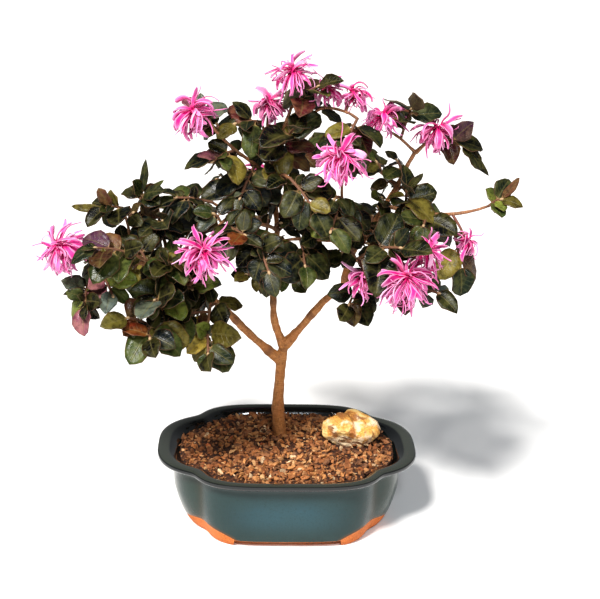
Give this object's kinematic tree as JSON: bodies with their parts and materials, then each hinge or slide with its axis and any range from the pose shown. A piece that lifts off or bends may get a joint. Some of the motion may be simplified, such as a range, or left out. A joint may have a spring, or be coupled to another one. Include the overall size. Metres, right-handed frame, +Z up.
{
  "type": "potted bonsai tree",
  "caption": "Chinese fringe flower bonsai with leafy sprays and tufts of pink strap petals, in a four-lobed blue glazed pot on corner feet",
  "frame": {"origin": "under the middle of the whole plant's bounding box, on the surface the pot stands on", "axes": "+Z up; -Y is the viewing front of the bonsai; +X to the viewer's right, along the pot's length"},
  "size_m": [0.3478, 0.2134, 0.3672],
  "materials": {
    "glaze": "glossy blue-grey glaze, bare terracotta at the feet",
    "mesh_plastic": "black moulded mesh",
    "soil": "coarse bark chips and baked clay grains",
    "stone": "rough, pale with brown patches",
    "bark": "thin flaking bark",
    "leaf": "fresh leaves with a soft sheen",
    "petal": "soft crinkled petals"
  },
  "bodies": {
    "root": {"bloom_back": "petal", "bloom_centre": "petal", "bloom_crown": "petal", "bloom_crown_right": "petal", "bloom_high_middle": "petal", "bloom_left_tip": "petal", "bloom_middle_left": "petal", "bloom_right_big": "petal", "bloom_right_high": "petal", "bloom_right_inner": "petal", "bloom_right_out": "petal", "bloom_right_top": "petal", "bloom_right_upright": "petal", "bloom_upper_left": "petal", "bloom_upper_right": "petal", "drain_mesh": "mesh_plastic", "pot": "glaze", "rock": "stone", "soil": "soil", "spray_back": "leaf", "spray_back_left": "leaf", "spray_centre_front": "leaf", "spray_centre_low": "leaf", "spray_cross": "leaf", "spray_crown": "leaf", "spray_crown_front": "leaf", "spray_high_left": "leaf", "spray_high_middle": "leaf", "spray_high_right": "leaf", "spray_leader_left": "leaf", "spray_left_back": "leaf", "spray_left_drop": "leaf", "spray_left_fork": "leaf", "spray_left_front": "leaf", "spray_left_heart": "leaf", "spray_left_inner": "leaf", "spray_left_low": "leaf", "spray_left_low_front": "leaf", "spray_left_middle_back": "leaf", "spray_left_rise": "leaf", "spray_left_tip": "leaf", "spray_left_tip_low": "leaf", "spray_left_top": "leaf", "spray_left_upper_front": "leaf", "spray_middle_left": "leaf", "spray_middle_left_front": "leaf", "spray_right_back": "leaf", "spray_right_back_high": "leaf", "spray_right_front": "leaf", "spray_right_hang": "leaf", "spray_right_heart": "leaf", "spray_right_inner": "leaf", "spray_right_low": "leaf", "spray_right_low_inner": "leaf", "spray_right_shoulder": "leaf", "spray_right_tip": "leaf", "spray_right_top": "leaf", "spray_upper_left": "leaf", "spray_upper_right": "leaf", "wood": "bark"}
  },
  "joints": []
}
